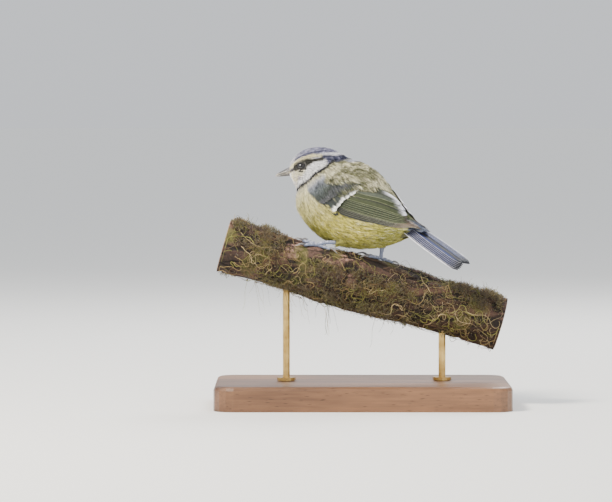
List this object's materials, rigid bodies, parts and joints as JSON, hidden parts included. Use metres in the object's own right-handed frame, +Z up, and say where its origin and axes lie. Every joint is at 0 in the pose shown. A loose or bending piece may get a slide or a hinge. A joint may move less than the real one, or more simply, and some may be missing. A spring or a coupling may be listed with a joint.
{
  "type": "blue tit model on a perch",
  "caption": "Still, life-size blue tit crouched on a cut length of mossy branch, its head in profile and its tail swung out, held by rods on a plain flat base.",
  "frame": {"origin": "middle of the underside of the stand's base", "axes": "+Z up; the bird faces -X along its perch with its left side towards -Y, so a view along +Y shows it as in the picture"},
  "size_m": [0.132, 0.084, 0.1162],
  "materials": {
    "head_plumage": "soft feathers: grey-blue crown, dark eye stripe, cream brow and cheek",
    "back_plumage": "soft feathers, grey-green to cream",
    "belly_plumage": "soft feathers, creamy yellow to olive yellow",
    "wing_plumage": "close vanes, dark green-grey with pale edges and a white bar",
    "tail_plumage": "close vanes, blue-grey with white outer edges",
    "bill_horn": "smooth horn, grey with a pale tip",
    "eye": "wet and glossy, nearly black",
    "leg_skin": "scuted skin, pale blue-grey",
    "claw_horn": "smooth grey horn",
    "bark": "rough bark, dark brown",
    "moss": "matted moss and rootlets, yellow-green to brown",
    "base_wood": "oiled wood, satin",
    "rod_brass": "turned brass, satin"
  },
  "bodies": {
    "root": {"head": "head_plumage", "neck": "back_plumage", "torso": "belly_plumage", "rump": "back_plumage", "thigh_left": "belly_plumage", "thigh_right": "belly_plumage", "wing_left_coverts": "wing_plumage", "wing_left_secondaries": "wing_plumage", "wing_left_primaries": "wing_plumage", "wing_right_coverts": "wing_plumage", "wing_right_secondaries": "wing_plumage", "wing_right_primaries": "wing_plumage", "tail": "tail_plumage", "bill_upper": "bill_horn", "bill_lower": "bill_horn", "eye_left": "eye", "eye_right": "eye", "leg_left": "leg_skin", "leg_right": "leg_skin", "claw_left_1": "claw_horn", "claw_left_2": "claw_horn", "claw_left_3": "claw_horn", "claw_left_4": "claw_horn", "claw_right_1": "claw_horn", "claw_right_2": "claw_horn", "claw_right_3": "claw_horn", "claw_right_4": "claw_horn", "perch_branch": "bark", "perch_moss_high_end": "moss", "perch_moss_front": "moss", "perch_moss_underside": "moss", "perch_moss_low_end": "moss", "stand_base": "base_wood", "stand_rod_front": "rod_brass", "stand_rod_back": "rod_brass"}
  },
  "joints": []
}
